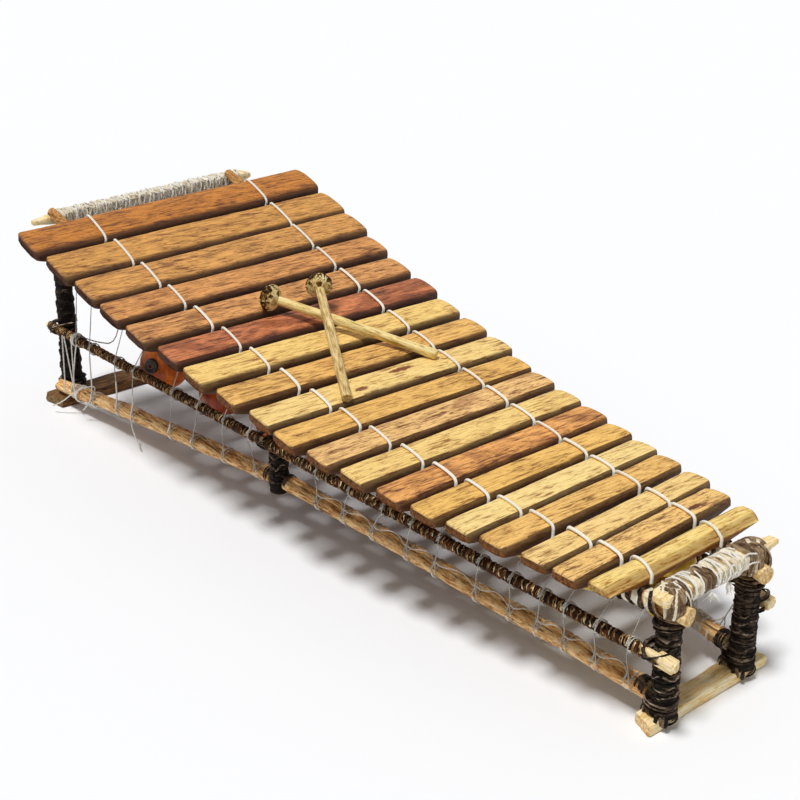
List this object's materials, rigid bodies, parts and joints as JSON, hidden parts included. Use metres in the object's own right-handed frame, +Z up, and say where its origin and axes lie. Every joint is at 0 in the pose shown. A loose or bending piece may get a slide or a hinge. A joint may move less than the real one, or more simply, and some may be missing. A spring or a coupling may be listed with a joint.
{
  "type": "balafon",
  "caption": "West African xylophone: graded wooden keys lashed on a low pole frame over gourd resonators, with loose mallets lying across the keys.",
  "frame": {"origin": "on the ground, under the middle of the balafon's bounding box", "axes": "+X from the long bass keys to the short treble keys, +Z up, -Y towards the side shown nearest in the picture"},
  "size_m": [1.1142, 0.46, 0.2933],
  "materials": {
    "key_dark": "dark red-brown oiled hardwood",
    "key_red": "deep red-brown oiled hardwood",
    "key_gold": "golden-brown oiled hardwood",
    "key_pale": "pale yellow hardwood",
    "pole": "dry split pole",
    "pale_wood": "pale peeled wood",
    "bark": "dark bark strip",
    "raffia": "grey-cream plant fibre",
    "cord": "white cotton cord",
    "gourd": "dried gourd shell",
    "mallet_wrap": "wound brown strips"
  },
  "bodies": {
    "frame_and_keys": {"gourd_03": "gourd", "gourd_05": "gourd", "gourd_07": "gourd", "gourd_08": "gourd", "gourd_09": "gourd", "gourd_10": "gourd", "gourd_11": "gourd", "gourd_12": "gourd", "gourd_13": "gourd", "gourd_14": "gourd", "gourd_15": "gourd", "gourd_16": "gourd", "gourd_17": "gourd", "gourd_18": "gourd", "gourd_19": "gourd", "ground_plank_bass": "pole", "ground_plank_treble": "pale_wood", "key_01": "key_dark", "key_02": "key_dark", "key_03": "key_dark", "key_04": "key_dark", "key_05": "key_red", "key_06": "key_red", "key_07": "key_gold", "key_08": "key_gold", "key_09": "key_gold", "key_10": "key_gold", "key_11": "key_gold", "key_12": "key_gold", "key_13": "key_gold", "key_14": "key_gold", "key_15": "key_gold", "key_16": "key_gold", "key_17": "key_gold", "key_18": "key_gold", "key_19": "key_pale", "key_cord_back": "cord", "key_cord_front": "cord", "lower_rail_bass_back": "pole", "lower_rail_bass_front": "pole", "lower_rail_treble_back": "pole", "lower_rail_treble_front": "pole", "middle_rail_back": "bark", "middle_rail_front": "bark", "post_bass_back": "bark", "post_bass_front": "bark", "post_middle_back": "bark", "post_middle_front": "bark", "post_treble_back": "bark", "post_treble_front": "bark", "side_lacing_back": "cord", "side_lacing_front": "cord", "top_crossbar_bass": "raffia", "top_crossbar_treble": "raffia", "upper_rail_back": "pole", "upper_rail_front": "pole"},
    "lower_mallet": {"mallet_stick_lower": "pale_wood", "mallet_head_lower": "mallet_wrap"},
    "upper_mallet": {"mallet_stick_upper": "pale_wood", "mallet_head_upper": "mallet_wrap"}
  },
  "joints": [
    {"name": "lower_mallet_lift", "type": "slide", "parent": "frame_and_keys", "child": "lower_mallet", "axis": [0, 0, 1], "range_m": [0, 0.15]},
    {"name": "upper_mallet_lift", "type": "slide", "parent": "lower_mallet", "child": "upper_mallet", "axis": [0, 0, 1], "range_m": [0, 0.15]}
  ]
}
